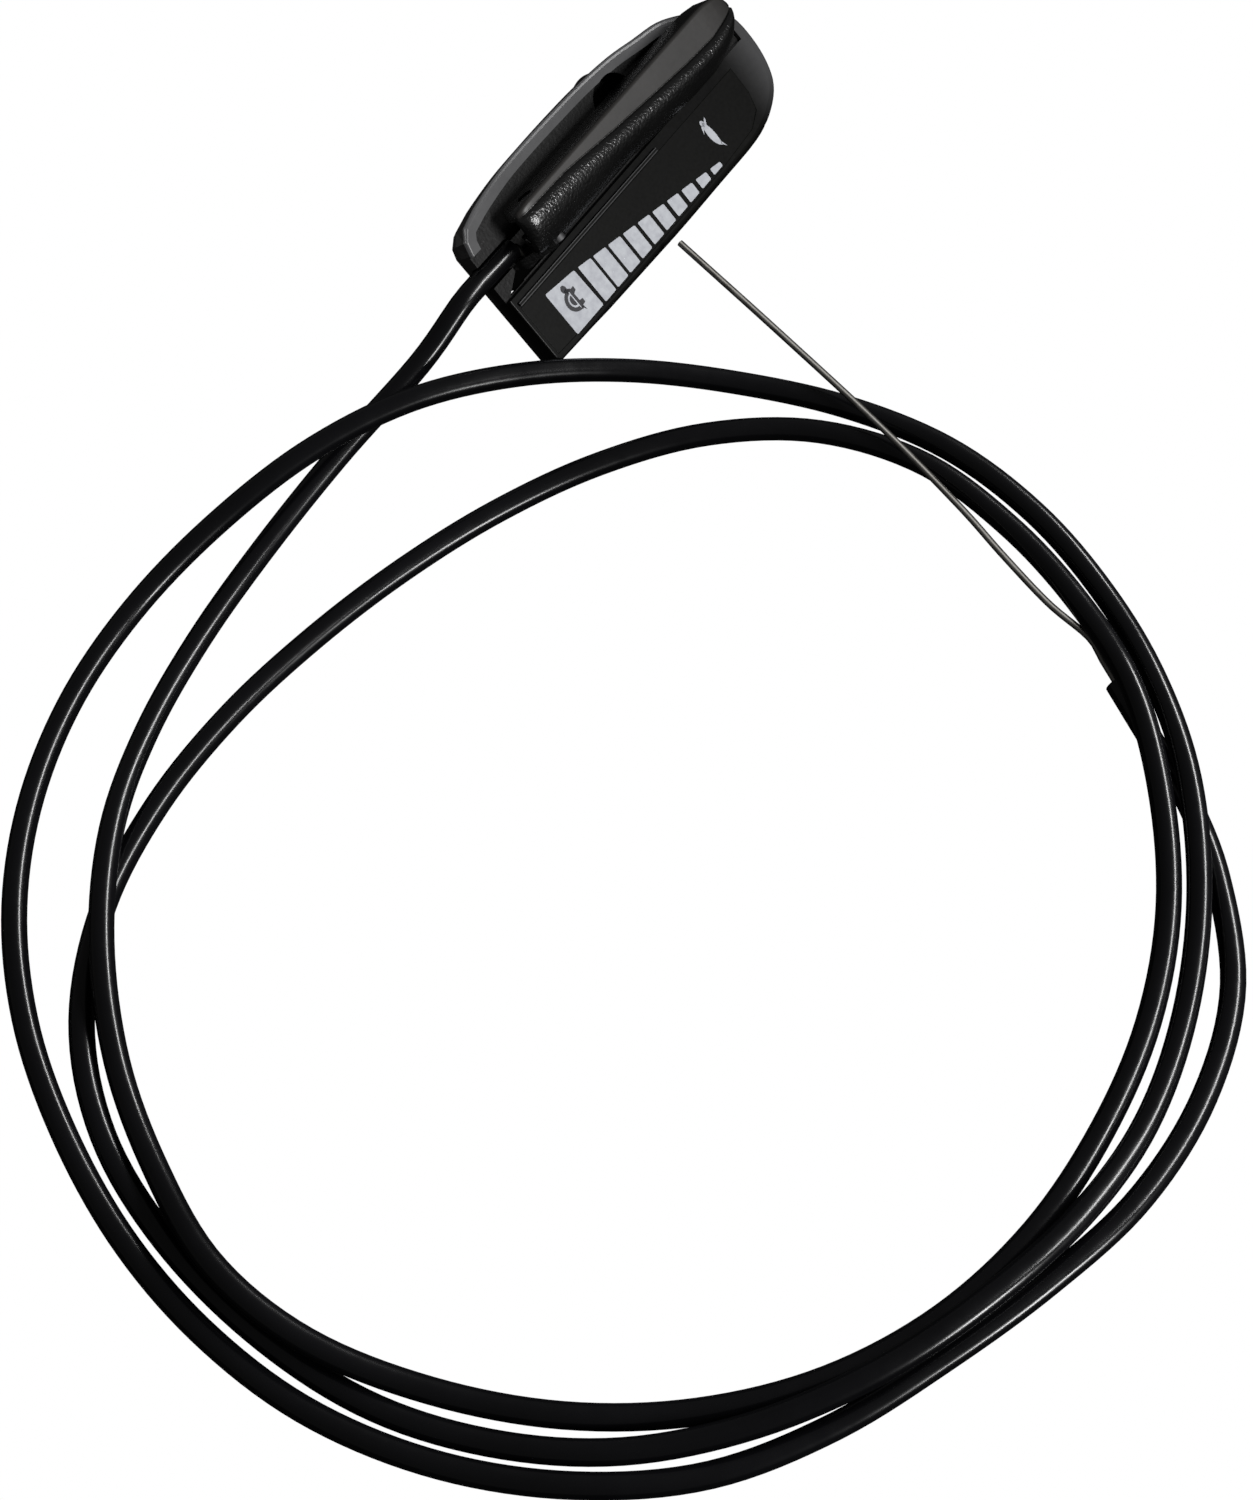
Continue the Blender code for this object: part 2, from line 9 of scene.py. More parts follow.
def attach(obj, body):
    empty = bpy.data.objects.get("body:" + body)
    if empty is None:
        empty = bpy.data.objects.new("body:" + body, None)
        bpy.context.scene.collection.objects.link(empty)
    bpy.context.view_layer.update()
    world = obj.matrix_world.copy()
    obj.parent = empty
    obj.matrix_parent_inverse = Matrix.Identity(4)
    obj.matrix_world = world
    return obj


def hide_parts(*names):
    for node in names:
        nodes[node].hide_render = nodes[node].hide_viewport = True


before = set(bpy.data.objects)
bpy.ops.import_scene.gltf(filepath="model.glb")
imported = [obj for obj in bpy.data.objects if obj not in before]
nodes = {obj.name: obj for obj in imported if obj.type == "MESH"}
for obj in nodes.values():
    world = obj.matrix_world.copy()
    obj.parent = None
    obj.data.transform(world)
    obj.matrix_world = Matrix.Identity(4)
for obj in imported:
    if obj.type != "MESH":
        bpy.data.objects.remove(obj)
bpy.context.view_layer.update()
mm = 0.001

# How the control lies: its own flat frame, in millimetres, is tilted about X as it rests
rest = {"tilt": 42.0, "origin": (-43.0, -4.5, 17.173)}


def restMatrix():
    turn = Matrix.Rotation(math.radians(rest["tilt"]), 4, "X")
    return Matrix.Translation(Vector(rest["origin"]) * mm) @ turn @ Matrix.Scale(mm, 4)


def toPart(x, y, z):
    return restMatrix() @ Vector((x, y, z))


# Materials: small functions that add and join nodes

def srgb(text):
    # Hex colour as seen on screen to the renderer's linear values
    values = [int(text[i:i + 2], 16) / 255 for i in (0, 2, 4)]
    return tuple(v / 12.92 if v <= 0.04045 else ((v + 0.055) / 1.055) ** 2.4 for v in values) + (1.0,)


def setInputs(mat, node, inputs):
    # Each input takes a plain value or another node's output
    for key, value in inputs.items():
        if isinstance(value, bpy.types.NodeSocket):
            mat.node_tree.links.new(value, node.inputs[key])
        else:
            node.inputs[key].default_value = value


def addNode(mat, kind, inputs=None, **values):
    node = mat.node_tree.nodes.new(kind)
    for key, value in values.items():
        setattr(node, key, value)
    setInputs(mat, node, inputs or {})
    return node


def newMaterial(name):
    mat = bpy.data.materials.new(name)
    mat.use_nodes = True
    return mat, mat.node_tree.nodes["Principled BSDF"]


def objectCoords(mat):
    return addNode(mat, "ShaderNodeTexCoord").outputs["Object"]


def noiseAt(mat, perMetre, detail=3.0, rough=0.55, output="Fac"):
    node = addNode(mat, "ShaderNodeTexNoise", {"Vector": objectCoords(mat), "Scale": perMetre,
                                               "Detail": detail, "Roughness": rough})
    return node.outputs[output]


def ramp(mat, source, low=0.0, high=1.0, start=0.3, end=0.7):
    node = addNode(mat, "ShaderNodeMapRange", {"Value": source, "From Min": start, "From Max": end,
                                               "To Min": low, "To Max": high})
    return node.outputs["Result"]


def mixColors(mat, factor, low, high):
    # Each colour is a hex text or another node's output
    low, high = [srgb(color) if isinstance(color, str) else color for color in (low, high)]
    return addNode(mat, "ShaderNodeMix", {"Factor": factor, 6: low, 7: high}, data_type="RGBA").outputs[2]


def mixValue(mat, factor, low, high):
    return addNode(mat, "ShaderNodeMix", {0: factor, 2: low, 3: high}).outputs[0]


def bump(mat, height, distance, strength=1.0, under=None):
    inputs = {"Height": height, "Distance": distance, "Strength": strength}
    if under is not None:
        inputs["Normal"] = under
    return addNode(mat, "ShaderNodeBump", inputs).outputs["Normal"]


def calc(mat, kind, a, b, clamp=False):
    return addNode(mat, "ShaderNodeMath", {0: a, 1: b}, operation=kind, use_clamp=clamp).outputs[0]


def above(mat, value, edge, soft):
    # 0 below the edge, 1 above it, with a soft change between
    node = addNode(mat, "ShaderNodeMapRange", {"Value": value, "From Min": edge - soft,
                                               "From Max": edge + soft}, interpolation_type="SMOOTHSTEP")
    return node.outputs["Result"]


def below(mat, value, edge, soft):
    return calc(mat, "SUBTRACT", 1.0, above(mat, value, edge, soft))


def both(mat, a, b):
    return calc(mat, "MULTIPLY", a, b)


def controlCoords(mat):
    # Millimetres in the control's own flat frame, from the part's own coordinates
    origin = tuple(v * mm for v in rest["origin"])
    moved = addNode(mat, "ShaderNodeVectorMath", {0: objectCoords(mat), 1: origin}, operation="SUBTRACT")
    turned = addNode(mat, "ShaderNodeVectorRotate", {"Vector": moved.outputs[0],
                                                     "Angle": -math.radians(rest["tilt"])},
                     rotation_type="X_AXIS")
    sized = addNode(mat, "ShaderNodeVectorMath", {0: turned.outputs[0], "Scale": 1 / mm}, operation="SCALE")
    return addNode(mat, "ShaderNodeSeparateXYZ", {0: sized.outputs[0]}).outputs[:3]


def lineAt(mat, x, table):
    # Value on a bent line over x, level at both of its ends; the node's own curve runs from 0 to 1
    widest, tallest = 100, 20
    xs, values = table
    points = [(0, values[0])] + list(zip(xs, values))[1:] + [(widest, values[-1])]
    spots = [(a / widest, b / tallest) for a, b in points]
    node = addNode(mat, "ShaderNodeFloatCurve", {"Value": both(mat, x, 1 / widest)})
    curve = node.mapping.curves[0]
    curve.points[0].location = spots[0]
    curve.points[1].location = spots[-1]
    for spot in spots[1:-1]:
        curve.points.new(*spot)
    for point in curve.points:
        point.handle_type = "VECTOR"
    node.mapping.update()
    return both(mat, node.outputs["Value"], tallest)


def leatherGrain(mat, size):
    # Moulded leather grain: soft pebbles, with finer wrinkles over them
    warp = noiseAt(mat, 0.7 / size, 2.0, output="Color")
    shift = addNode(mat, "ShaderNodeVectorMath", {0: warp, "Scale": size * 0.9}, operation="SCALE")
    spot = addNode(mat, "ShaderNodeVectorMath", {0: objectCoords(mat), 1: shift.outputs[0]}, operation="ADD")
    cells = addNode(mat, "ShaderNodeTexVoronoi", {"Vector": spot.outputs[0], "Scale": 1 / size},
                    feature="SMOOTH_F1")
    wrinkles = noiseAt(mat, 2.6 / size)
    return calc(mat, "ADD", cells.outputs["Distance"], both(mat, wrinkles, 0.4))


# Meshes: functions that more than one piece uses

def newObject(name, bm, mat, smooth=None):
    bmesh.ops.recalc_face_normals(bm, faces=bm.faces)
    mesh = bpy.data.meshes.new(name)
    bm.to_mesh(mesh)
    bm.free()
    if mat:
        mesh.materials.append(mat)
    if smooth is not None:
        mesh.shade_smooth()
        mesh.set_sharp_from_angle(angle=math.radians(smooth))
    obj = bpy.data.objects.new(name, mesh)
    bpy.context.scene.collection.objects.link(obj)
    return obj


def joinRings(bm, rings):
    # Closed skin through rings of vertices, with a face over each end
    for low, high in zip(rings[:-1], rings[1:]):
        for i in range(len(low)):
            k = (i + 1) % len(low)
            bm.faces.new((low[i], low[k], high[k], high[i]))
    bm.faces.new(list(reversed(rings[0])))
    bm.faces.new(rings[-1])


def edgeBevel(obj, width, angle=30, harden=False):
    mod = obj.modifiers.new("edge", "BEVEL")
    mod.width = width * mm
    mod.segments = 2
    mod.limit_method = "ANGLE"
    mod.angle_limit = math.radians(angle)
    mod.harden_normals = harden


def smoothRoute(points, step):
    # Even points along a smooth curve through the chosen ones, which are in millimetres
    parts = 24
    given = [Vector(p) for p in points]
    given = [given[0] * 2 - given[1]] + given + [given[-1] * 2 - given[-2]]
    fine = []
    for i in range(1, len(given) - 2):
        a, b, c, d = given[i - 1:i + 3]
        for k in range(parts):
            t = k / parts
            fine.append(((2 * b) + (c - a) * t + (2 * a - 5 * b + 4 * c - d) * t ** 2
                         + (3 * b - a - 3 * c + d) * t ** 3) * 0.5)
    fine.append(given[-2])
    along = [0.0]
    for p, q in zip(fine[:-1], fine[1:]):
        along.append(along[-1] + (q - p).length)
    count = int(round(along[-1] / step))
    result, k = [], 0
    for i in range(count + 1):
        want = along[-1] * i / count
        while k < len(fine) - 2 and along[k + 1] < want:
            k += 1
        part = (want - along[k]) / max(along[k + 1] - along[k], 1e-9)
        result.append(fine[k].lerp(fine[k + 1], min(max(part, 0), 1)))
    return result


def pathLength(points):
    return sum((q - p).length for p, q in zip(points[:-1], points[1:]))


def tubeRings(bm, points, radius, sides, bore=None):
    # Rings square to the path; a bore opens the far end by a short blind hole
    rows, side = [], None
    for i, p in enumerate(points):
        ahead = (points[min(i + 1, len(points) - 1)] - points[max(i - 1, 0)]).normalized()
        if side is None:
            side = ahead.orthogonal().normalized()
        side = (side - ahead * side.dot(ahead)).normalized()
        up = ahead.cross(side)
        rows.append((p, side, up, ahead))

    def circle(p, side, up, r):
        return [bm.verts.new(p + side * r * math.cos(2 * math.pi * k / sides)
                             + up * r * math.sin(2 * math.pi * k / sides)) for k in range(sides)]

    rings = [circle(p, s, u, radius) for p, s, u, _ in rows]
    if bore:
        # The cut end's rounded edges, then the hole; each ring lies some radii ahead of the end
        p, s, u, ahead = rows[-1]
        for shift, r in ((0.03, radius * 0.94), (0.03, bore * 1.08), (0.0, bore), (-2.0, bore)):
            rings.append(circle(p + ahead * radius * shift, s, u, r))
    joinRings(bm, rings)


# Conduit: 5 mm jacket, one smooth line from inside the control to the cut end. Lengths are in millimetres,
# bump depths in metres, and here and below patches, drag, specks, scuffs, grit and weave are noise per metre.
conduit = {
    "radius": 2.5,
    "step": 3.0,
    "sides": 20,
    "smooth": 50,
    "bore": 1.1,
    "colors": ("050506", "0a0a0c"),
    "patches": 25.0,
    "dust": ("4a4a4c", 0.12),
    "specks": 3500.0,
    "drag": 260.0,
    "depth": 0.00001,
    "rough": (0.19, 0.24),
    "shine": 0.3,
    "route": [
        (-50.3, 2.9, 20.9), (-64.9, 3.9, 14.9), (-90.3, 6.4, 9.8), (-115.2, 7.3, 5.1),
        (-139.0, 5.8, 2.7), (-162.1, 0.5, 3.8), (-183.6, -9.1, 7.5), (-203.2, -22.7, 7.6),
        (-219.7, -39.3, 4.2), (-232.4, -59.2, 5.4), (-241.6, -80.4, 8.6), (-242.8, -102.3, 7.2),
        (-236.8, -125.0, 3.7), (-226.7, -147.0, 2.6), (-212.6, -166.3, 2.6), (-194.7, -182.0, 2.6),
        (-173.5, -192.9, 2.6), (-150.4, -198.4, 2.6), (-126.5, -198.8, 2.6), (-102.8, -195.2, 2.8),
        (-81.0, -186.9, 5.2), (-61.9, -173.9, 8.6), (-44.5, -157.3, 9.4), (-30.9, -137.9, 5.0),
        (-21.6, -115.9, 2.6), (-18.4, -92.5, 2.6), (-24.3, -69.8, 2.6), (-38.4, -50.8, 2.6),
        (-57.6, -36.4, 2.6), (-79.2, -25.8, 2.6), (-102.0, -18.2, 2.6), (-125.4, -13.0, 2.6),
        (-149.2, -10.2, 2.6), (-173.3, -11.0, 2.6), (-196.5, -16.5, 2.6), (-217.1, -28.3, 2.6),
        (-232.3, -46.0, 2.6), (-241.4, -67.9, 2.6), (-245.7, -92.7, 2.6), (-244.9, -117.2, 2.6),
        (-238.0, -139.4, 2.6), (-226.2, -159.4, 3.3), (-209.7, -176.3, 6.0), (-189.8, -189.4, 8.3),
        (-167.5, -198.4, 8.4), (-144.2, -204.0, 6.6), (-120.6, -204.9, 3.3), (-97.3, -200.1, 2.8),
        (-75.6, -190.5, 6.2), (-56.0, -176.7, 9.1), (-39.1, -160.1, 6.8), (-25.3, -141.0, 3.4),
        (-15.9, -119.1, 2.6), (-12.2, -95.5, 2.6), (-15.5, -71.9, 2.7), (-24.5, -49.8, 4.3),
        (-37.7, -30.3, 8.5), (-54.8, -14.6, 14.2), (-74.6, -1.7, 18.1), (-95.6, 8.8, 16.2),
        (-117.5, 16.7, 9.9), (-140.3, 20.5, 4.5), (-163.8, 18.3, 2.6), (-186.4, 10.2, 2.6),
        (-206.5, -2.6, 2.6), (-223.3, -19.7, 2.6), (-236.3, -40.0, 2.6), (-246.1, -62.5, 2.6),
        (-251.4, -85.7, 2.6), (-252.0, -109.4, 2.6), (-246.7, -133.3, 2.6), (-236.1, -155.3, 2.6),
        (-221.0, -174.1, 2.6), (-201.4, -187.6, 2.6), (-179.5, -197.3, 2.6), (-156.7, -205.5, 2.6),
        (-133.5, -211.2, 2.6), (-109.5, -211.2, 2.6), (-86.7, -204.8, 2.6), (-67.7, -190.8, 2.6),
    ],
    "tail": ((-55.7, -176.9, 2.6), (-41.3, -152.9, 2.6)),
    "lead": ((-7.0, 8.0, -2.2), (9.9, 8.0, -2.2)),
}


def jacketMaterial():
    # Conduit: extruded black polyethylene, glossy, with faint drag lines and a little dust
    look = conduit
    mat, shader = newMaterial("conduit_gloss")
    drag = noiseAt(mat, look["drag"], 2.0)
    dustColor, most = look["dust"]
    dusty = ramp(mat, noiseAt(mat, look["specks"], 5.0, 0.7), 0.0, most, 0.62, 0.8)
    body = mixColors(mat, ramp(mat, noiseAt(mat, look["patches"], 2.0)), *look["colors"])
    setInputs(mat, shader, {
        "Base Color": mixColors(mat, dusty, body, dustColor),
        "Roughness": ramp(mat, drag, *look["rough"]),
        "Normal": bump(mat, drag, look["depth"], 0.25),
        "Specular IOR Level": look["shine"],
    })
    return mat


def makeConduit(mat):
    start, end = [Vector(p) for p in conduit["tail"]]
    lead = [toPart(*p) / mm for p in conduit["lead"]]
    route = [Vector(p) for p in conduit["route"]]
    given = [lead[1], (lead[0] + lead[1]) / 2] + route + [start, (start + end) / 2, end]
    points = [p * mm for p in smoothRoute(given, conduit["step"])]
    bm = bmesh.new()
    tubeRings(bm, points, conduit["radius"] * mm, conduit["sides"], conduit["bore"] * mm)
    obj = newObject("conduit_jacket", bm, mat, conduit["smooth"])
    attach(obj, "control")
    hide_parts("conduit", "conduit_lead", "conduit_tail")
    print("conduit", round(pathLength(points), 4))


# Bare inner wire past the conduit's cut end: a straight run out of the bore, then its own route. Millimetres.
wire = {
    "radius": 0.75,
    "inside": 12.0,
    "straight": 12.0,
    "step": 2.0,
    "sides": 12,
    "smooth": 50,
    "colors": ("6c6a66", "8b8985"),
    "rough": (0.42, 0.54),
    "patches": 260.0,
    "grit": 1800.0,
    "depth": 0.000004,
    "route": [
        (-33.1, -131.9, 2.9), (-29.1, -118.5, 3.9), (-24.7, -104.9, 5.2), (-18.4, -81.4, 7.2),
        (-11.3, -51.5, 8.6), (-4.5, -21.1, 10.0),
    ],
}

# Zinc-plated screws, pin, washers and keeper
zinc = {
    "nodes": ("cover_screw_1", "cover_screw_2", "pivot_pin", "spring_washer", "friction_washer",
              "wire_keeper"),
    "colors": ("4a4a4b", "636364"),
    "rough": (0.55, 0.67),
    "patches": 400.0,
    "grit": 1800.0,
    "depth": 0.000004,
}


def steelMaterial(name, look):
    # Bare or zinc-plated steel, a little duller in patches
    mat, shader = newMaterial(name)
    patches = noiseAt(mat, look["patches"], 4.0)
    setInputs(mat, shader, {
        "Base Color": mixColors(mat, ramp(mat, patches), *look["colors"]),
        "Roughness": ramp(mat, patches, *look["rough"]),
        "Normal": bump(mat, noiseAt(mat, look["grit"]), look["depth"], 0.3),
        "Metallic": 1.0,
    })
    return mat


def makeWire(mat):
    start, end = [Vector(p) for p in conduit["tail"]]
    ahead = (end - start).normalized()
    inside, straight = ahead * wire["inside"], ahead * wire["straight"]
    given = [end - inside, end - inside / 2, end, end + straight / 2, end + straight]
    points = [p * mm for p in smoothRoute(given + [Vector(p) for p in wire["route"]], wire["step"])]
    bm = bmesh.new()
    tubeRings(bm, points, wire["radius"] * mm, wire["sides"])
    obj = newObject("bare_wire", bm, mat, wire["smooth"])
    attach(obj, "tip_wire")
    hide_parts("inner_wire_tip")
    print("wire", round(pathLength(points), 4))


# Housing's finish: sunk floor, rim with painted light and plain face; grain in metres, bevels in millimetres
housing = {
    "floor": {"colors": ("080808", "0e0d0d"), "shine": 0.2, "rough": (0.46, 0.58)},
    # The rim's lighter grey is painted light; the far-end shoulder and the rib's two edges take it too, as
    # painted highlights
    "rim": {"colors": ("3f3f40", "4b4b4c"), "shine": 0.3},
    "face": {"colors": ("070707", "0c0c0b"), "shine": 0.12, "rough": (0.32, 0.4)},
    "patches": 50.0,
    "scuffs": 800.0,
    "scuffDepth": 0.000008,
    "grain": 0.00065,
    "depth": 0.00005,
    "bevels": {"housing": 0.15, "bottom_cover": 0.3},
}

# Where those finishes meet in the control's frame: each has an edge and how soft it is, in millimetres
housingZones = {
    "floor": {"y": (1.2, 0.15), "z": (-0.9, 0.2)},
    # Rim, shoulder and rib: where the painted light and painted highlights go
    "rim": {"y": (10.5, 1.5), "z": (-1.1, 0.2)},
    "shoulder": {"x": (87.0, 9.0), "z": (-3.2, 0.8)},
    "rib": {"middle": -0.8, "half": (0.24, 0.06), "y": (0.4, 0.3), "z": (0.45, 0.2)},
}


def housingMaterial():
    # Housing: black glass-filled nylon, grained in the flange's sunk floor, smooth on its rim and face, with
    # light painted onto the rim, the shoulder and the rib's edges
    look, zones = housing, housingZones
    floor, rim, face = look["floor"], look["rim"], look["face"]
    mat, shader = newMaterial("housing_nylon")
    x, y, z = controlCoords(mat)
    sunk = both(mat, above(mat, y, *zones["floor"]["y"]), below(mat, z, *zones["floor"]["z"]))
    # Painted light: lighter where light falls on the flange's rim and the shoulder at the far end, and
    # painted highlights along the rib's two edges
    edge = both(mat, above(mat, y, *zones["rim"]["y"]), above(mat, z, *zones["rim"]["z"]))
    shoulder = both(mat, above(mat, x, *zones["shoulder"]["x"]), above(mat, z, *zones["shoulder"]["z"]))
    off = calc(mat, "ABSOLUTE", calc(mat, "SUBTRACT", y, zones["rib"]["middle"]), 0.0)
    sides = both(mat, above(mat, off, *zones["rib"]["half"]), below(mat, y, *zones["rib"]["y"]))
    rib = both(mat, above(mat, z, *zones["rib"]["z"]), sides)
    paintedLight = calc(mat, "MAXIMUM", calc(mat, "MAXIMUM", edge, shoulder), rib)
    plain = calc(mat, "SUBTRACT", 1.0, paintedLight, True)
    broad = ramp(mat, noiseAt(mat, look["patches"]))
    scuffs = noiseAt(mat, look["scuffs"], 5.0, 0.7)
    floorColor, paintedLightColor, faceColor = [mixColors(mat, broad, *zone["colors"]) for zone in (floor, rim, face)]
    floorRough, faceRough = [ramp(mat, scuffs, *zone["rough"]) for zone in (floor, face)]
    shine = mixValue(mat, plain, rim["shine"], face["shine"])
    height = both(mat, leatherGrain(mat, look["grain"]), mixValue(mat, sunk, 0.02, 1.0))
    setInputs(mat, shader, {
        "Base Color": mixColors(mat, sunk, mixColors(mat, plain, paintedLightColor, faceColor), floorColor),
        "Roughness": mixValue(mat, sunk, faceRough, floorRough),
        "Specular IOR Level": mixValue(mat, sunk, shine, floor["shine"]),
        "Normal": bump(mat, height, look["depth"], 1.0, bump(mat, scuffs, look["scuffDepth"], 0.5)),
    })
    return mat


def paintNode(name, mat, bevel=0.0):
    # A CAD node keeps its shape, apart from a small bevel
    for spot in nodes[name].material_slots:
        spot.material = mat
    if bevel:
        edgeBevel(nodes[name], bevel, 35, True)


# Lever's shape in the control's frame: x positions with the y of its sides and the z of its top
leverShape = {
    "pivot": (16.2, 5.0),
    "right": ([9.9, 10.6, 12, 14, 18, 27, 40, 52.6, 65.6, 74, 79.5, 82.5, 84.5, 86.0],
              [5.2, 4.5, 4.0, 3.6, 3.2, 3.3, 3.6, 2.6, 1.9, 1.9, 2.9, 4.4, 6.3, 8.2]),
    "left": ([9.9, 10.6, 12, 14, 78, 82, 84.5, 86.0], [14.0, 14.9, 15.3, 15.5, 15.5, 14.8, 13.6, 11.6]),
    "groove": ([9, 12, 25, 41, 54, 67, 76, 86], [13.7, 13.6, 13.4, 11.5, 10.2, 9.0, 8.6, 9.8]),
    "top": ([9.9, 10.2, 10.8, 12.0, 14, 78, 82, 84.5, 86.0], [6.5, 7.5, 8.5, 9.1, 9.3, 9.3, 9.0, 8.3, 6.8]),
    "low": ([16.2, 78, 84, 86.0], [0.8, 0.8, 1.2, 2.6]),
    "boss": 6.0,
    # Foot, corner and step are in millimetres, each with the most it takes of the height. Crest, flank and
    # pull are shares of the roll, dip is in steps below the top, and the others are in millimetres.
    "ring": {"rollLeast": 0.9, "foot": (1.5, 0.25), "corner": (0.8, 0.2), "step": (0.35, 0.06),
             "crest": 0.28, "flank": (0.42, 0.72), "pull": (0.24, 0.12), "dip": 2.6, "lip": (0.3, 0.55),
             "strip": (0.15, 0.4), "hem": 0.5, "clear": 0.3},
    "stations": [9.9, 10.05, 10.25, 10.5, 10.9, 11.4, 12.0, 12.8, 13.6, 14.6, 16, 18, 20, 23, 26, 30, 34,
                 38, 42, 46, 50, 54, 58, 62, 66, 70, 73, 76, 78.5, 80.5, 82, 83.2, 84.2, 85.0, 85.6, 86.0],
    "arm": {"y": (3.1, 5.1), "reach": 11.4, "half": 2.9, "turn": 35.0, "slot": (-8.35, -7.55, 1.5)},
    "lugSlot": [(13.05, 20.4, 8.15), (8.0, 13.1, 6.1)],
    "slotY": (8.8, 13.4),
    "pinHole": 1.8,
    "lugFoot": -1.0,
    "across": (0, 18),
    "weld": 0.002,
    "smooth": 42,
}

# Lever's finish: its flat strip, painted lighter as painted light, and its roll, and where they meet past the
# groove; grain in metres
lever = {
    "strip": {"colors": ("2a2928", "353332"), "shine": 0.5, "rough": (0.4, 0.48)},
    "roll": {"colors": ("070707", "0e0e0e"), "shine": 0.8, "rough": (0.22, 0.3)},
    # Below the meet's z edge the strip's side wall takes the dark roll colour as painted shade
    "meet": {"y": (0.1, 0.25), "z": (7.4, 0.4)},
    "patches": 55.0,
    "scuffs": 900.0,
    "scuffDepth": 0.000008,
    "grain": 0.0006,
    "depth": 0.00009,
}


def leverMaterial():
    # Lever: black glass-filled nylon, polished along its flat strip and grained over its roll; the strip's
    # lighter grey is painted light, and the strip's side wall is painted dark as painted shade
    look, strip, roll = lever, lever["strip"], lever["roll"]
    mat, shader = newMaterial("lever_nylon")
    x, y, z = controlCoords(mat)
    past = calc(mat, "SUBTRACT", y, lineAt(mat, x, leverShape["groove"]))
    # Strip mask: the strip's top gets the painted light colour, and below the z edge its side wall keeps the
    # dark roll colour as painted shade
    flat = both(mat, above(mat, past, *look["meet"]["y"]), above(mat, z, *look["meet"]["z"]))
    broad = ramp(mat, noiseAt(mat, look["patches"]))
    scuffs = noiseAt(mat, look["scuffs"], 5.0, 0.7)
    rollColor, litStripColor = [mixColors(mat, broad, *zone["colors"]) for zone in (roll, strip)]
    rollRough, stripRough = [ramp(mat, scuffs, *zone["rough"]) for zone in (roll, strip)]
    height = both(mat, leatherGrain(mat, look["grain"]), mixValue(mat, flat, 1.0, 0.03))
    setInputs(mat, shader, {
        "Base Color": mixColors(mat, flat, rollColor, litStripColor),
        "Roughness": mixValue(mat, flat, rollRough, stripRough),
        "Specular IOR Level": mixValue(mat, flat, roll["shine"], strip["shine"]),
        "Normal": bump(mat, height, look["depth"], 1.0, bump(mat, scuffs, look["scuffDepth"], 0.5)),
    })
    return mat


def between(x, table):
    # Value at x on a bent line given as a list of x and a list of values
    xs, values = table
    if x <= xs[0]:
        return values[0]
    for a, b, c, d in zip(xs[:-1], xs[1:], values[:-1], values[1:]):
        if x <= b:
            return c + (d - c) * (x - a) / (b - a)
    return values[-1]


def bezier(a, b, c, d, count):
    result = []
    for i in range(count):
        t = i / (count - 1)
        u = 1 - t
        result.append(tuple(u ** 3 * a[k] + 3 * u * u * t * b[k] + 3 * u * t * t * c[k] + t ** 3 * d[k]
                            for k in (0, 1)))
    return result


def circleAt(cx, cy, radius, count=24):
    angles = [2 * math.pi * i / count for i in range(count)]
    return [(cx + radius * math.cos(a), cy + radius * math.sin(a)) for a in angles]


def leverRing(x):
    # Cross-section as y, z points: foot, roll with its crest near the groove, groove, flat strip, left side
    look, ring = leverShape, leverShape["ring"]
    right, left, groove = between(x, look["right"]), between(x, look["left"]), between(x, look["groove"])
    groove = min(groove, left - ring["rollLeast"])
    low, top = between(x, look["low"]), between(x, look["top"])
    px, pz = look["pivot"]
    if x < px:
        # The near end is cut round the boss
        dx = px - x
        past = ring["clear"] if dx > look["boss"] else 0.0
        low = max(low, pz - math.sqrt(max(look["boss"] ** 2 - dx * dx, 0.0)) + past)
    tall, wide = top - low, groove - right
    foot, small, step = [min(ring[key][0], tall * ring[key][1]) for key in ("foot", "corner", "step")]
    hem = ring["hem"]
    crest = (groove - ring["crest"] * wide, top)
    side = (right, low + tall * ring["flank"][0])
    dip = (groove, top - ring["dip"] * step)
    points = [(right + foot * (1 - math.cos(a)), low + foot * (1 - math.sin(a))) for a in
              [math.pi / 2 * (1 - k / 4) for k in range(5)]]
    points += bezier(side, (right, low + tall * ring["flank"][1]), (crest[0] - ring["pull"][0] * wide, top),
                     crest, 13)
    points += bezier(crest, (crest[0] + ring["pull"][1] * wide, top),
                     (groove - ring["lip"][0], dip[1] + ring["lip"][1]), dip, 6)[1:]
    points += [(groove + ring["strip"][0], dip[1]), (groove + ring["strip"][1], top - step)]
    points += [(left - small * (1 - math.sin(a)), top - step - small * (1 - math.cos(a))) for a in
               [math.pi / 2 * k / 5 for k in range(6)]]
    points += [(left - hem * (1 - math.cos(a)), low + hem * (1 - math.sin(a))) for a in
               [math.pi / 2 * k / 3 for k in range(4)]]
    return [(x, y, z) for y, z in points]


def solid(rings):
    # Closed solid through rings of points, in the control's frame
    bm = bmesh.new()
    joinRings(bm, [[bm.verts.new(point) for point in ring] for ring in rings])
    return newObject("solid", bm, None)


def combine(target, tool, kind):
    mod = target.modifiers.new("combine", "BOOLEAN")
    mod.operation, mod.solver, mod.object = kind, "EXACT", tool
    bpy.context.view_layer.update()
    mesh = bpy.data.meshes.new_from_object(target.evaluated_get(bpy.context.evaluated_depsgraph_get()))
    target.modifiers.clear()
    target.data = mesh
    bpy.data.objects.remove(tool, do_unlink=True)


def acrossY(outline, y0, y1):
    return solid([[(x, y, z) for x, z in outline] for y in (y0, y1)])


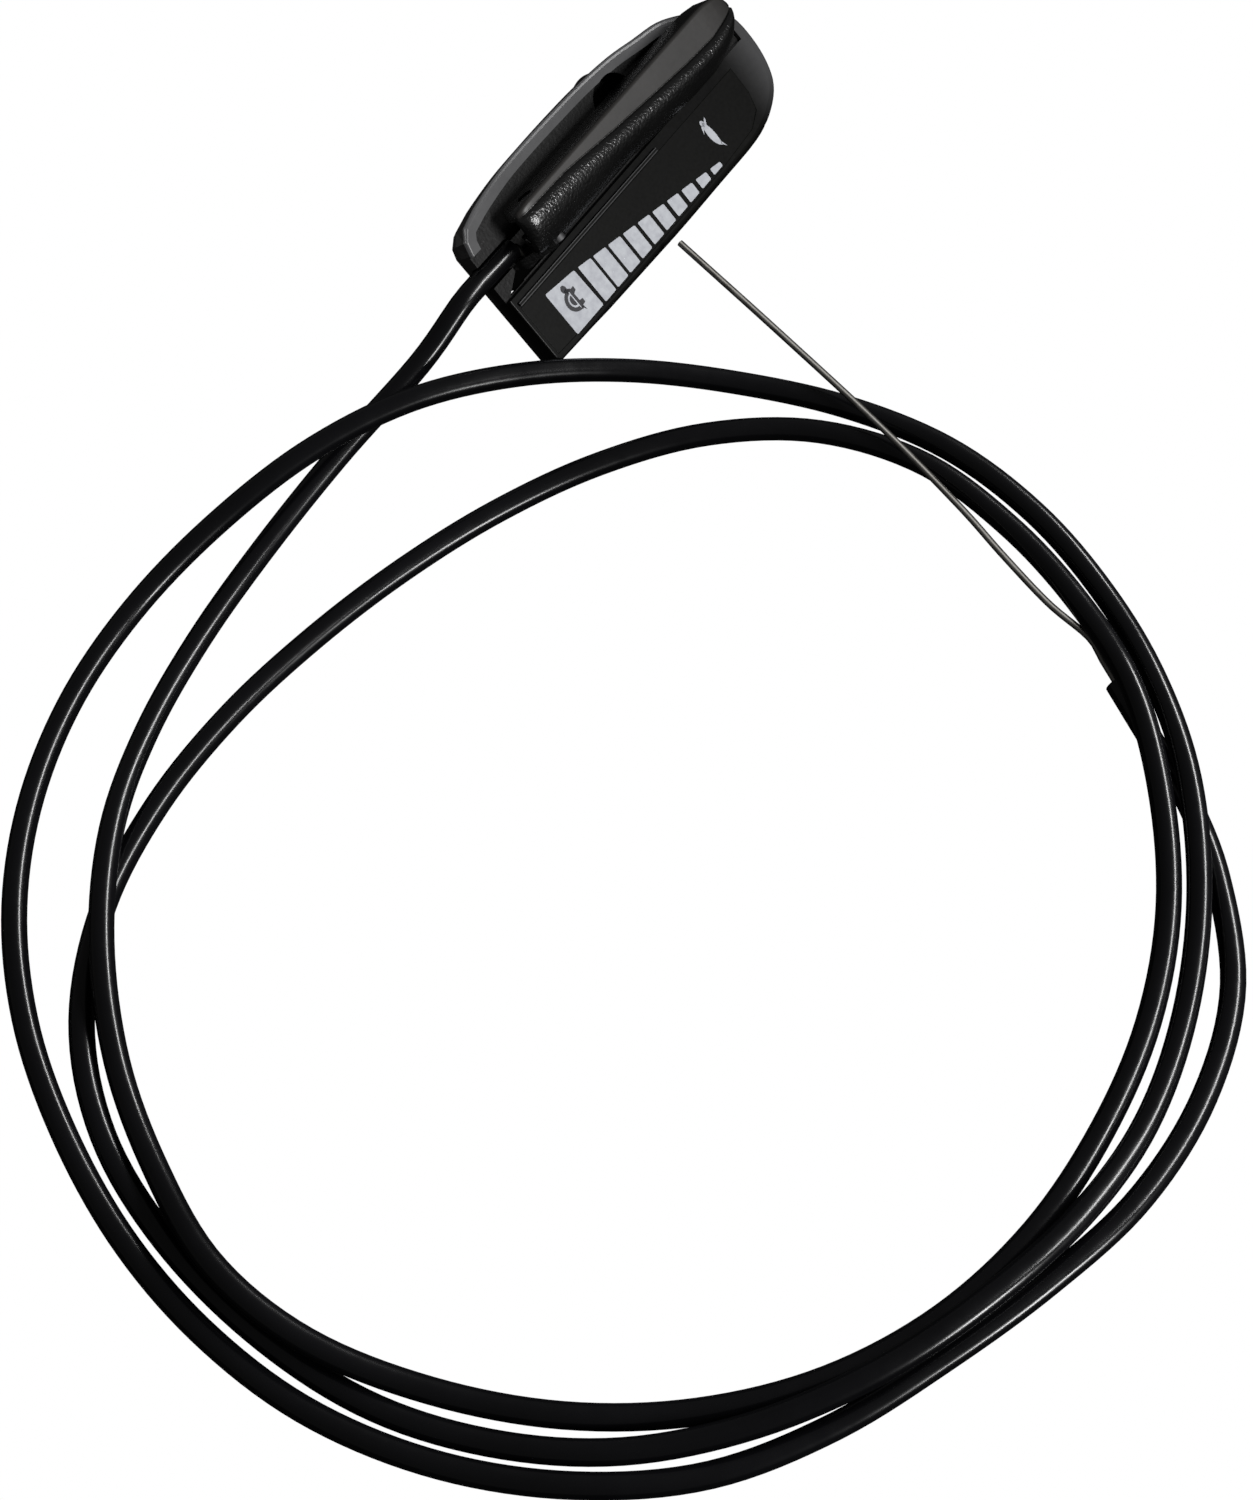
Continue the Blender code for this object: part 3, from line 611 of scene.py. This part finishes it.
def makeLever(mat):
    look, arm = leverShape, leverShape["arm"]
    px, pz = look["pivot"]
    handle = solid([leverRing(x) for x in look["stations"]])
    turn = math.radians(arm["turn"])

    def hung(a, b):
        return px + a * math.cos(turn) + b * math.sin(turn), pz - a * math.sin(turn) + b * math.cos(turn)

    half, end = arm["half"], arm["half"] - arm["reach"]
    flat = [(-half, 0)] + circleAt(0, end, half, 32)[16:] + [(half, end), (half, 0)]
    low, high, r = arm["slot"]
    slot = circleAt(0, low, r)[12:] + circleAt(0, high, r)[:13]
    combine(handle, acrossY([hung(a, b) for a, b in flat], *arm["y"]), "UNION")
    # Cuts: the wire's slot in the arm, room for the housing's lug, and the pin's hole right across
    combine(handle, acrossY([hung(a, b) for a, b in slot], arm["y"][0] - 1, arm["y"][1] + 1), "DIFFERENCE")
    for x0, x1, top in look["lugSlot"]:
        outline = [(x0, look["lugFoot"]), (x1, look["lugFoot"]), (x1, top), (x0, top)]
        combine(handle, acrossY(outline, *look["slotY"]), "DIFFERENCE")
    hole = circleAt(px, pz, look["pinHole"], 40)
    combine(handle, acrossY(hole, *look["across"]), "DIFFERENCE")
    bm = bmesh.new()
    bm.from_mesh(handle.data)
    bpy.data.objects.remove(handle, do_unlink=True)
    bmesh.ops.remove_doubles(bm, verts=bm.verts, dist=look["weld"])
    bm.transform(restMatrix())
    obj = newObject("lever_moulding", bm, mat, look["smooth"])
    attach(obj, "lever_body")
    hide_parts("lever")
    print("lever", len(obj.data.polygons))


# Printed strip on the face, in the control's own frame: film, white square and bars, and the two marks
printed = {
    "film": {"colors": ("070706", "0b0b0a"), "rough": (0.36, 0.44), "shine": 0.12, "patches": 50.0,
             "weave": 1500.0, "depth": 0.000006},
    "ink": {"white": ("a9abb2", "bec1c6"), "dark": ("15151a", "22222a"), "rough": (0.45, 0.6),
            "patches": 700.0},
    "strip": [(1.4, -1.9), (1.4, -14.3), (20, -15.1), (45, -15.3), (62, -15.2), (75.5, -14.4),
              (79.4, -12.2), (80.6, -8.5), (80.6, -1.9)],
    "grow": 0.27,
    "bevel": 0.1,
    "depth": -0.4,
    "height": 0.05,
    "gap": 0.01,
    "thick": 0.03,
    "square": (7.7, 17.3, -3.7, -14.95),
    "squareCut": (0.3, 1.2),
    "corners": (0.25, 0.22),
    "bars": 10,
    "first": 18.2,
    "pitch": 4.66,
    "wide": 3.9,
    "narrower": 0.018,
    "low": -14.95,
    "high": (-5.15, -14.1),
    "slow": (12.5, -9.3),
    "fast": (66.3, -8.2),
}


def filmMaterial():
    # Printed strip: black satin film, faintly uneven where it lies on the moulding
    look = printed["film"]
    mat, shader = newMaterial("label_film")
    fine = noiseAt(mat, look["weave"], 4.0)
    setInputs(mat, shader, {
        "Base Color": mixColors(mat, ramp(mat, noiseAt(mat, look["patches"])), *look["colors"]),
        "Roughness": ramp(mat, fine, *look["rough"]),
        "Normal": bump(mat, fine, look["depth"], 0.6),
        "Specular IOR Level": look["shine"],
    })
    return mat


def inkMaterial(kind):
    # Silk-screened ink, very slightly uneven at its thin spots
    look = printed["ink"]
    mat, shader = newMaterial("ink_" + kind)
    patches = noiseAt(mat, look["patches"], 4.0)
    setInputs(mat, shader, {
        "Base Color": mixColors(mat, ramp(mat, patches), *look[kind]),
        "Roughness": ramp(mat, patches, *look["rough"]),
    })
    return mat


def plate(name, outlines, z0, z1, mat):
    # Thin printed shapes on the face: each outline is a list of x, y points
    bm = bmesh.new()
    for outline in outlines:
        joinRings(bm, [[bm.verts.new(toPart(x, y, z)) for x, y in outline] for z in (z0, z1)])
    obj = newObject(name, bm, mat)
    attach(obj, "control")
    return obj


def grown(outline, amount):
    # Moves each corner of the outline outwards
    result = []
    for i, (x, y) in enumerate(outline):
        a = (Vector(outline[i]) - Vector(outline[i - 1])).normalized()
        b = (Vector(outline[(i + 1) % len(outline)]) - Vector(outline[i])).normalized()
        normal = Vector((a.y + b.y, -a.x - b.x)).normalized()
        reach = amount / max(abs(Vector((a.y, -a.x)).dot(normal)), 0.5)
        result.append((x + normal.x * reach, y + normal.y * reach))
    return result


def makeStrip(film):
    # The film lies tight in its seat, so it's drawn out to the seat's edge
    outline = grown(printed["strip"], printed["grow"])
    obj = plate("scale_film", [outline], printed["depth"], printed["height"], film)
    edgeBevel(obj, printed["bevel"])
    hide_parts("scale_label")


def clipped(outline, amount):
    # Screen printing rounds its corners a little
    result = []
    for i, point in enumerate(outline):
        p = Vector(point)
        for other in (outline[i - 1], outline[(i + 1) % len(outline)]):
            side = Vector(other) - p
            result.append(tuple(p + side.normalized() * min(amount, side.length * 0.3)))
    return result


def makePrint(white, dark):
    look = printed
    z0, z1 = look["height"] + look["gap"], look["height"] + look["gap"] + look["thick"]
    x0, x1, y0, y1 = look["square"]
    cutX, cutY = look["squareCut"]
    square = [(x0, y0), (x0, y1), (x1, y1), (x1 - cutX, y0 - cutY)]
    plate("print_square", [clipped(square, look["corners"][0])], z0, z1, white)
    # The bars grow shorter and a little narrower towards the fast end
    first, last = look["high"]
    slope = (last - first) / (look["bars"] * look["pitch"])
    bars = []
    for k in range(look["bars"]):
        left = look["first"] + look["pitch"] * k
        right = left + look["wide"] * (1 - look["narrower"] * k)
        high0, high1 = [first + slope * (x - look["first"]) for x in (left, right)]
        bar = [(left, high0), (left, look["low"]), (right, look["low"]), (right, high1)]
        bars.append(clipped(bar, look["corners"][1]))
    plate("print_bars", bars, z0, z1, white)
    makeSlowMark(z1 + look["gap"], dark)
    makeFastMark(z0, z1, white)


def mapped(shape, cx, cy):
    # Marks are drawn with their heads to +u and their backs to +w; the scale reads along -x
    return [(cx - w, cy + u) for u, w in shape]


def arc(cu, cw, ru, rw, start, end, count):
    angles = [math.radians(start + (end - start) * i / (count - 1)) for i in range(count)]
    return [(cu + ru * math.cos(a), cw + rw * math.sin(a)) for a in angles]


def makeSlowMark(z, dark):
    # A simple tortoise seen from the side: domed shell with a light band, head, legs and tail
    shell = arc(0, -0.2, 2.7, 2.7, 0, 180, 21)
    inner = arc(0, 0.1, 1.7, 1.45, 180, 0, 21)
    dome = shell + [(-1.7, 0.1)] + inner[1:-1] + [(1.7, 0.1)]
    core = arc(0, 0.1, 1.25, 1.05, 0, 180, 13)
    belly = [(-2.9, -0.2), (2.9, -0.2), (2.4, -0.9), (-2.4, -0.9)]
    head = arc(3.25, 0.5, 0.95, 0.75, 0, 345, 16)
    neck = [(2.1, -0.6), (3.2, 0.1), (2.9, 0.9), (2.0, 0.4)]
    tail = [(-2.3, -0.2), (-2.2, -0.8), (-3.6, -1.05)]
    legs = [[(-2.2, -0.8), (-0.9, -0.8), (-1.1, -1.8), (-2.1, -1.8)],
            [(0.9, -0.8), (2.2, -0.8), (2.3, -1.8), (1.3, -1.8)]]
    shapes = [mapped(shape, *printed["slow"]) for shape in [dome, core, belly, head, neck, tail] + legs]
    plate("print_slow_mark", shapes, z, z + printed["thick"], dark)


def makeFastMark(z0, z1, white):
    # A simple running hare, long and thin, with its ears laid back
    back = bezier((-3.6, -0.5), (-2.2, 1.5), (1.6, 1.5), (3.4, 0.4), 14)
    body = back + bezier((3.4, 0.4), (2.0, -0.9), (-1.6, -1.1), (-3.6, -0.5), 14)[1:-1]
    head = arc(3.1, 0.5, 0.85, 0.55, 0, 345, 16)
    ears = [(3.1, 0.7), (2.7, 1.25), (1.1, 1.8), (2.0, 1.0)]
    legs = [[(2.2, -0.3), (3.3, -0.95), (3.9, -1.0), (2.9, 0.1)],
            [(-2.6, -0.7), (-3.9, -1.1), (-4.6, -1.4), (-3.2, -0.3)]]
    shapes = [mapped(shape, *printed["fast"]) for shape in [body, head, ears] + legs]
    plate("print_fast_mark", shapes, z0, z1, white)


# Camera found by laying the photographed coil and face back onto the model
lens = {
    "place": (-0.333974, -0.235125, 0.514725),
    "right": (0.56928, -0.822144, 0.0),
    "up": (0.72591, 0.502644, 0.469472),
    "ahead": (0.385973, 0.267261, -0.882948),
    "focal": 69.82,
    "clip": (0.01, 20),
}


def pictureAxes():
    # The picture's right and up, and back towards the camera
    return Matrix((Vector(lens["right"]), Vector(lens["up"]), -Vector(lens["ahead"]))).transposed()


def makeCamera():
    data = bpy.data.cameras.new("camera")
    data.lens = lens["focal"]
    data.clip_start, data.clip_end = lens["clip"]
    cam = bpy.data.objects.new("camera", data)
    cam.matrix_world = Matrix.Translation(Vector(lens["place"])) @ pictureAxes().to_4x4()
    bpy.context.scene.collection.objects.link(cam)
    bpy.context.scene.camera = cam


# Floor and background: both look white to the camera, and light the pieces only a little
backdrop = {"size": 4.0, "height": -0.0003, "floor": "707070", "seen": 1.0, "light": 0.1}


def makeStage():
    # White sweep that the camera sees as plain white, as in the photograph
    white = (1, 1, 1, 1)
    mat, shader = newMaterial("white_floor")
    mat.node_tree.nodes.remove(shader)
    soft = addNode(mat, "ShaderNodeBsdfDiffuse", {"Color": srgb(backdrop["floor"])})
    glow = addNode(mat, "ShaderNodeEmission", {"Color": white, "Strength": backdrop["seen"]})
    seen = addNode(mat, "ShaderNodeLightPath").outputs["Is Camera Ray"]
    mix = addNode(mat, "ShaderNodeMixShader", {"Fac": seen, 1: soft.outputs[0], 2: glow.outputs[0]})
    setInputs(mat, mat.node_tree.nodes["Material Output"], {"Surface": mix.outputs[0]})
    bm = bmesh.new()
    bmesh.ops.create_grid(bm, x_segments=1, y_segments=1, size=backdrop["size"])
    for vert in bm.verts:
        vert.co.z = backdrop["height"]
    floor = newObject("floor", bm, mat)
    world = bpy.data.worlds.new("world")
    world.use_nodes = True
    bpy.context.scene.world = world
    seen = addNode(world, "ShaderNodeLightPath").outputs["Is Camera Ray"]
    level = mixValue(world, seen, backdrop["light"], backdrop["seen"])
    setInputs(world, world.node_tree.nodes["Background"], {"Color": white, "Strength": level})


# Lights, each for one group of pieces. One stands at a place, or away from its aim by metres along the
# picture's right, up and back. Its long side runs up the picture, or along a line given in the same way.
lights = {
    "sideStrip": {"on": "cord_pieces", "aim": "coil", "away": (0.83, 0.63, 0.46), "size": (0.12, 1.45),
                  "power": 26.6, "along": (-0.31, 0.715, -0.617)},
    "lowStrip": {"on": "cord_pieces", "aim": "coil", "away": (1.21, -0.65, 0.82), "size": (0.15, 0.4),
                 "power": 13.0},
    "wireFill": {"on": "wire_pieces", "aim": "wire", "away": (0.0, 0.75, 0.7), "size": (0.7, 0.5),
                 "power": 6.0},
    "side": {"on": "control_pieces", "aim": "coil", "away": (1.35, 0.0, 1.5), "size": (0.14, 0.9),
             "power": 42.0},
    "key": {"on": "body_pieces", "aim": "grip", "place": (-0.5, 0.62, 0.45), "size": (0.25, 0.25),
            "power": 5.0},
    "top": {"on": "body_pieces", "aim": "grip", "place": (0.5, 0.12, 0.6), "size": (0.3, 0.2),
            "power": 4.0},
}
aims = {"coil": (-0.08, -0.09, 0.0), "wire": (-0.02, -0.08, 0.006), "grip": (0.0, 0.0, 0.02)}
lit = {
    "control_pieces": ["housing", "bottom_cover", "pivot_pin", "lever_moulding", "scale_film",
                       "print_square", "print_bars", "print_slow_mark", "print_fast_mark"],
    "cord_pieces": ["conduit_jacket"],
    "wire_pieces": ["bare_wire"],
    "body_pieces": ["housing"],
}


def litGroup(name):
    group = bpy.data.collections.new(name)
    for piece in lit[name]:
        group.objects.link(nodes[piece] if piece in nodes else bpy.data.objects[piece])
    return group


def makeLights():
    # Two thin strips give the conduit its bright lines; the wire and the control have their own soft lights
    axes = pictureAxes()
    groups = {name: litGroup(name) for name in lit}
    for name, look in lights.items():
        aim = Vector(aims[look["aim"]])
        place = Vector(look["place"]) if "place" in look else aim + axes @ Vector(look["away"])
        data = bpy.data.lights.new(name, "AREA")
        data.shape = "RECTANGLE"
        data.size, data.size_y = look["size"]
        data.energy = look["power"]
        obj = bpy.data.objects.new(name, data)
        back = (place - aim).normalized()
        side = (axes @ Vector(look.get("along", (0, 1, 0)))).cross(back).normalized()
        turn = Matrix((side, back.cross(side), back)).transposed()
        obj.matrix_world = Matrix.Translation(place) @ turn.to_4x4()
        obj.light_linking.receiver_collection = groups[look["on"]]
        bpy.context.scene.collection.objects.link(obj)


def main():
    makeCamera()
    print("camera")
    steel = steelMaterial("bare_steel", wire)
    makeConduit(jacketMaterial())
    makeWire(steel)
    plated = steelMaterial("zinc_plate", zinc)
    shell = housingMaterial()
    for name, width in housing["bevels"].items():
        paintNode(name, shell, width)
    makeLever(leverMaterial())
    makeStrip(filmMaterial())
    for name in zinc["nodes"]:
        paintNode(name, plated)
    paintNode("inner_wire_hook", steel)
    print("control painted")
    makePrint(inkMaterial("white"), inkMaterial("dark"))
    print("print")
    makeStage()
    makeLights()
    scene = bpy.context.scene
    scene.view_settings.view_transform = "Standard"
    scene.render.film_transparent = False
    print("stage and lights")


main()
